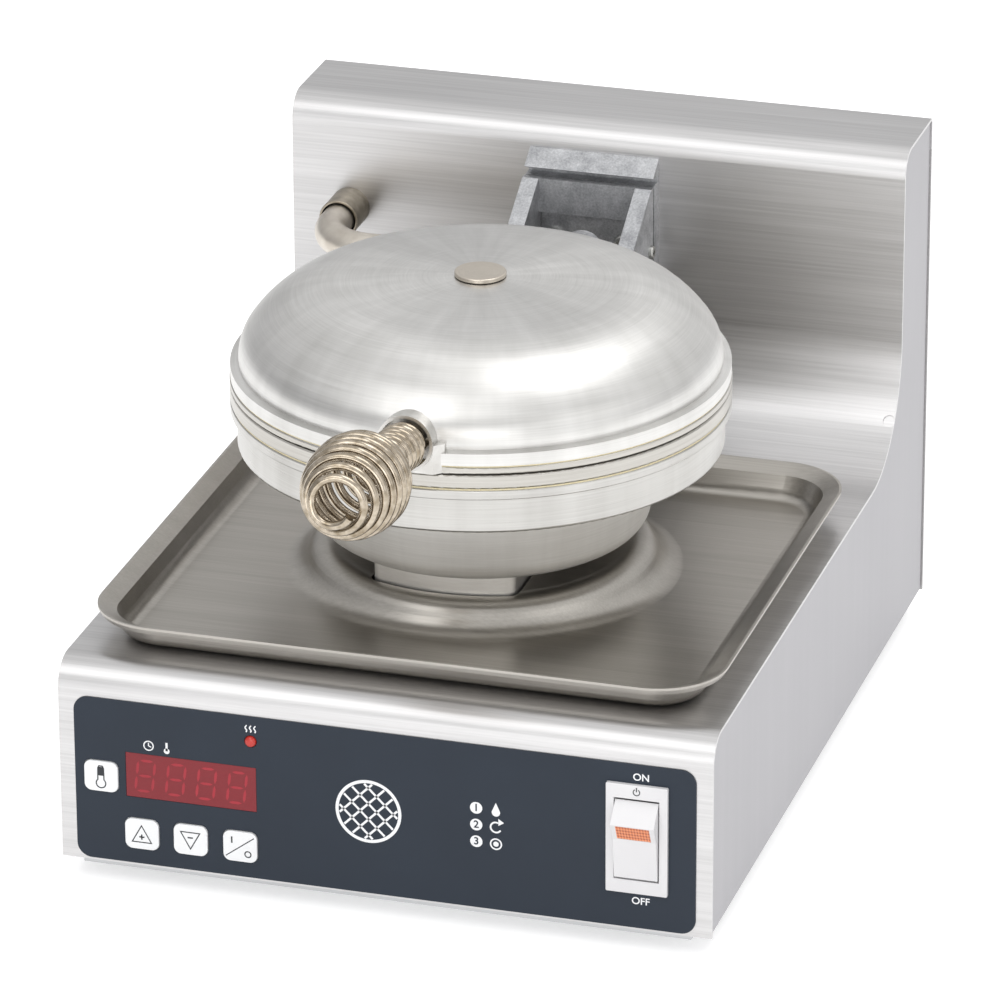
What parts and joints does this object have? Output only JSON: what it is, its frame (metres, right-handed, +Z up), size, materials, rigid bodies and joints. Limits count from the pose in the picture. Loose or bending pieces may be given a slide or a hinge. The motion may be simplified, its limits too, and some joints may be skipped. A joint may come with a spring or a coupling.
{
  "type": "waffle maker",
  "caption": "Round waffle maker on a low steel housing with a raised back, a domed hinged lid with a coiled wire handle, a drip tray and a keypad",
  "frame": {"origin": "centre of the overall box at the level of the feet's undersides", "axes": "+X to the user's right, +Y to the back, +Z up"},
  "size_m": [0.267, 0.4232, 0.2262],
  "materials": {
    "stainless": "horizontal brushed grain",
    "side_steel": "fine matte",
    "base_sheet": "galvanised",
    "screw_steel": "bright zinc",
    "rubber": "matte",
    "dark_plastic": "matte",
    "label_film": "satin printed film",
    "red_window": "deep red filter",
    "digits": "dark",
    "lamp_red": "clear red",
    "circuit_board": "board green",
    "key_white": "satin",
    "switch_grey": "satin",
    "lens_amber": "ribbed",
    "brass_tab": "plain",
    "relay_body": "plain",
    "core": "varnished laminations",
    "sleeve_steel": "satin",
    "cast_plate": "satin turned",
    "dome": "satin spun",
    "grid": "cast, machined rim",
    "gasket": "woven",
    "element": "heat darkened",
    "tray_steel": "satin",
    "cast_bracket": "grainy casting",
    "nickel": "warm satin nickel",
    "conduit_steel": "warm grey",
    "collar": "dull"
  },
  "bodies": {
    "base": {"wrapper": "stainless", "side_panel_right": "side_steel", "side_panel_left": "side_steel", "base_pan": "base_sheet", "base_screws": "screw_steel", "rear_cover": "stainless", "rear_screws": "screw_steel", "feet": "rubber", "foot_screws": "screw_steel", "cord_gland": "dark_plastic", "gland_nut": "dark_plastic", "control_label": "label_film", "display_window": "red_window", "display_module": "digits", "heat_lamp": "lamp_red", "control_board": "circuit_board", "board_standoffs": "screw_steel", "tact_switches": "dark_plastic", "switch_housing": "switch_grey", "rocker_pin": "screw_steel", "switch_terminals": "brass_tab", "transformer": "core", "relay": "relay_body", "terminal_block": "relay_body", "column": "sleeve_steel", "deck_stiffener": "base_sheet", "tie_bolts": "screw_steel", "pedestal_dish": "cast_plate", "lower_shell": "cast_plate", "shell_screws": "screw_steel", "lower_gasket": "gasket", "lower_grid": "grid", "lower_element": "element", "high_limit": "screw_steel", "temperature_probe": "element", "hinge_bracket": "cast_bracket", "bracket_bolts": "screw_steel", "cheek_screws": "screw_steel", "hinge_pin": "screw_steel", "conduit": "conduit_steel", "conduit_collar": "collar", "collar_nut": "collar"},
    "lid": {"lid_cover": "dome", "lid_gasket": "gasket", "upper_grid": "grid", "upper_element": "element", "lid_cap": "nickel", "handle_boss": "cast_bracket", "handle_stud": "nickel", "handle_spring": "nickel", "lid_lug": "cast_bracket", "lug_screws": "screw_steel"},
    "rocker_body": {"rocker": "switch_grey", "rocker_lens": "lens_amber"},
    "tray": {"drip_tray": "tray_steel"},
    "temperature_key": {"key_temperature": "key_white"},
    "up_key": {"key_up": "key_white"},
    "down_key": {"key_down": "key_white"},
    "start_key": {"key_start": "key_white"}
  },
  "joints": [
    {"name": "lid_hinge", "type": "hinge", "parent": "base", "child": "lid", "pos_m": [0, 0.10258, 0.1785], "axis": [-1, 0, 0], "range_deg": [0, 88]},
    {"name": "rocker_tilt", "type": "hinge", "parent": "base", "child": "rocker_body", "pos_m": [0.1036, -0.14892, 0.0496], "axis": [-1, 0, 0], "range_deg": [0, 14]},
    {"name": "tray_slide", "type": "slide", "parent": "base", "child": "tray", "axis": [0, -1, 0], "range_m": [0, 0.18]},
    {"name": "temperature_press", "type": "slide", "parent": "base", "child": "temperature_key", "axis": [0, 1, 0], "range_m": [0, 0.0006], "stiffness_N_per_m": 1500},
    {"name": "up_press", "type": "slide", "parent": "base", "child": "up_key", "axis": [0, 1, 0], "range_m": [0, 0.0006], "stiffness_N_per_m": 1500},
    {"name": "down_press", "type": "slide", "parent": "base", "child": "down_key", "axis": [0, 1, 0], "range_m": [0, 0.0006], "stiffness_N_per_m": 1500},
    {"name": "start_press", "type": "slide", "parent": "base", "child": "start_key", "axis": [0, 1, 0], "range_m": [0, 0.0006], "stiffness_N_per_m": 1500}
  ]
}
